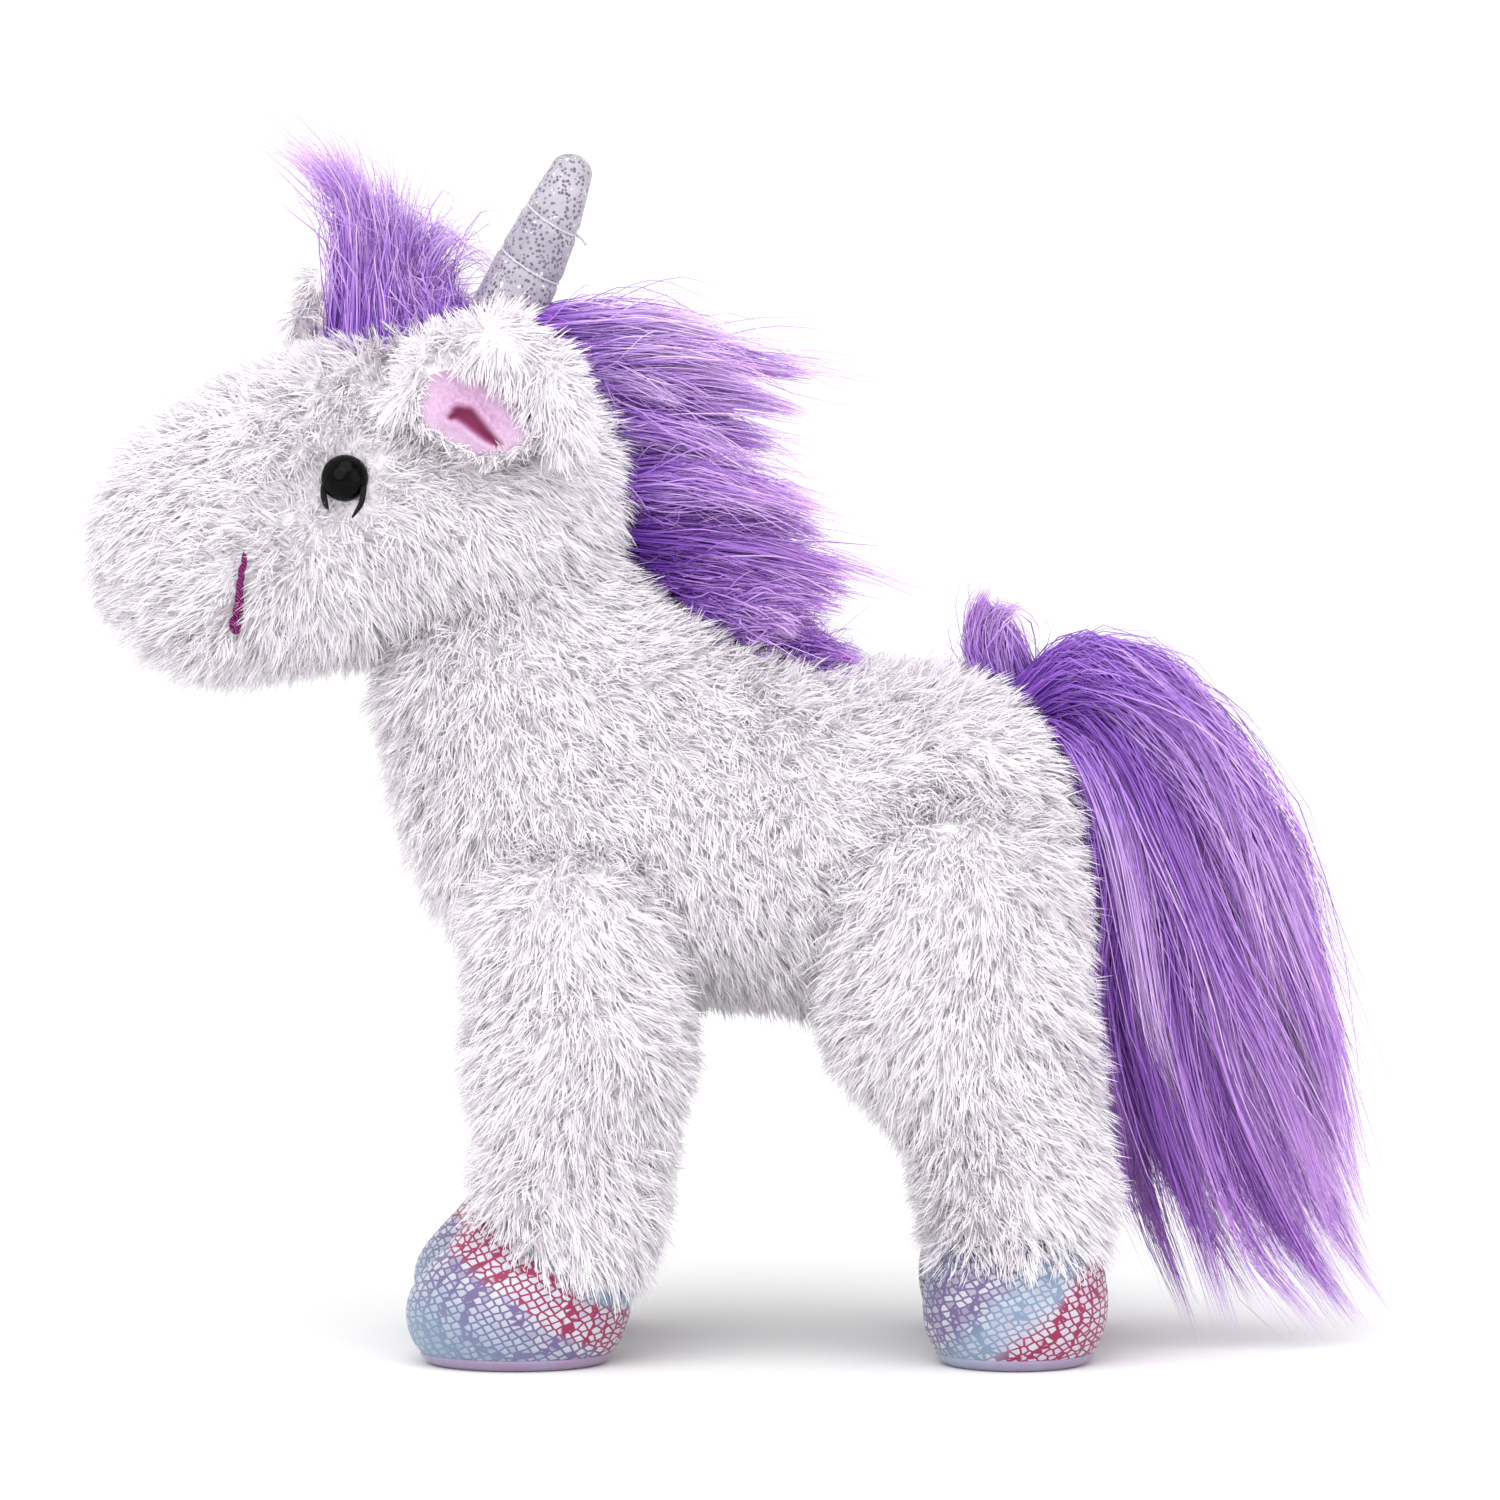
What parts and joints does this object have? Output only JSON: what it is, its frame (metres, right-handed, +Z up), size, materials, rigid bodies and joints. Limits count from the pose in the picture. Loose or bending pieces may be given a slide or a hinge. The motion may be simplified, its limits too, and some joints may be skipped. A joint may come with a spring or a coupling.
{
  "type": "plush unicorn",
  "caption": "Standing shaggy plush unicorn with purple mane and tail, stuffed silver horn, floppy lined ears and foil-cloth hooves; head, legs, ears, horn and tail flex.",
  "frame": {"origin": "on the floor, under the centre of the whole toy's bounding box", "axes": "+X from nose towards tail, so the toy faces -X; +Y towards the toy's right side; +Z up"},
  "size_m": [0.333, 0.112, 0.306],
  "materials": {
    "plush_pile": "matte",
    "stuffing": "matte",
    "long_pile": "satin",
    "washer_plastic": "matte",
    "eye_plastic": "gloss",
    "black_thread": "matte",
    "purple_thread": "satin",
    "horn_cloth": "satin",
    "horn_thread": "satin",
    "pink_lining": "matte",
    "hoof_cloth": "satin",
    "pellets": "matte"
  },
  "bodies": {
    "torso": {"torso_skin_left": "plush_pile", "torso_skin_right": "plush_pile", "belly_gusset": "plush_pile", "torso_stuffing": "stuffing", "mane_lower": "long_pile"},
    "head": {"head_skin_left": "plush_pile", "head_skin_right": "plush_pile", "head_stuffing": "stuffing", "mane_upper": "long_pile", "forelock": "long_pile", "eye_left": "eye_plastic", "eye_right": "eye_plastic", "eye_washer_left": "washer_plastic", "eye_washer_right": "washer_plastic", "lashes_left": "black_thread", "lashes_right": "black_thread", "nostril_left": "purple_thread", "nostril_right": "purple_thread"},
    "horn": {"horn_sleeve": "horn_cloth", "horn_stuffing": "stuffing", "horn_thread": "horn_thread"},
    "ear_left": {"ear_back_left": "plush_pile", "ear_lining_left": "pink_lining"},
    "ear_right": {"ear_back_right": "plush_pile", "ear_lining_right": "pink_lining"},
    "tail": {"tail_tab": "long_pile", "tail_hair": "long_pile"},
    "front_leg_left": {"front_leg_skin_left": "plush_pile", "front_leg_stuffing_left": "stuffing", "front_hoof_left": "hoof_cloth", "front_sole_left": "hoof_cloth", "front_pellet_bag_left": "pellets"},
    "front_leg_right": {"front_leg_skin_right": "plush_pile", "front_leg_stuffing_right": "stuffing", "front_hoof_right": "hoof_cloth", "front_sole_right": "hoof_cloth", "front_pellet_bag_right": "pellets"},
    "hind_leg_left": {"hind_leg_skin_left": "plush_pile", "hind_leg_stuffing_left": "stuffing", "hind_hoof_left": "hoof_cloth", "hind_sole_left": "hoof_cloth", "hind_pellet_bag_left": "pellets"},
    "hind_leg_right": {"hind_leg_skin_right": "plush_pile", "hind_leg_stuffing_right": "stuffing", "hind_hoof_right": "hoof_cloth", "hind_sole_right": "hoof_cloth", "hind_pellet_bag_right": "pellets"}
  },
  "joints": [
    {"name": "head_nod", "type": "hinge", "parent": "torso", "child": "head", "pos_m": [-0.062, 0, 0.2], "axis": [0, 1, 0], "range_deg": [-20, 10], "stiffness_Nm_per_rad": 1.6},
    {"name": "horn_flex", "type": "hinge", "parent": "head", "child": "horn", "pos_m": [-0.062, 0, 0.265], "axis": [0, 1, 0], "range_deg": [-12, 12], "stiffness_Nm_per_rad": 0.05},
    {"name": "ear_flop_left", "type": "hinge", "parent": "head", "child": "ear_left", "pos_m": [-0.066, -0.0426, 0.2375], "axis": [1, 0, 0], "range_deg": [-10, 40], "stiffness_Nm_per_rad": 0.03},
    {"name": "ear_flop_right", "type": "hinge", "parent": "head", "child": "ear_right", "pos_m": [-0.08, 0.0426, 0.2375], "axis": [-1, 0, 0], "range_deg": [-10, 40], "stiffness_Nm_per_rad": 0.03},
    {"name": "tail_lift", "type": "hinge", "parent": "torso", "child": "tail", "pos_m": [0.074, 0, 0.161], "axis": [0, -1, 0], "range_deg": [0, 35], "stiffness_Nm_per_rad": 0.2},
    {"name": "front_leg_swing_left", "type": "hinge", "parent": "torso", "child": "front_leg_left", "pos_m": [-0.046, -0.027, 0.108], "axis": [0, 1, 0], "range_deg": [-15, 20], "stiffness_Nm_per_rad": 0.8},
    {"name": "front_leg_swing_right", "type": "hinge", "parent": "torso", "child": "front_leg_right", "pos_m": [-0.046, 0.027, 0.108], "axis": [0, 1, 0], "range_deg": [-15, 20], "stiffness_Nm_per_rad": 0.8},
    {"name": "hind_leg_swing_left", "type": "hinge", "parent": "torso", "child": "hind_leg_left", "pos_m": [0.053, -0.022, 0.112], "axis": [0, 1, 0], "range_deg": [-10, 18], "stiffness_Nm_per_rad": 0.8},
    {"name": "hind_leg_swing_right", "type": "hinge", "parent": "torso", "child": "hind_leg_right", "pos_m": [0.053, 0.022, 0.112], "axis": [0, 1, 0], "range_deg": [-10, 18], "stiffness_Nm_per_rad": 0.8}
  ]
}
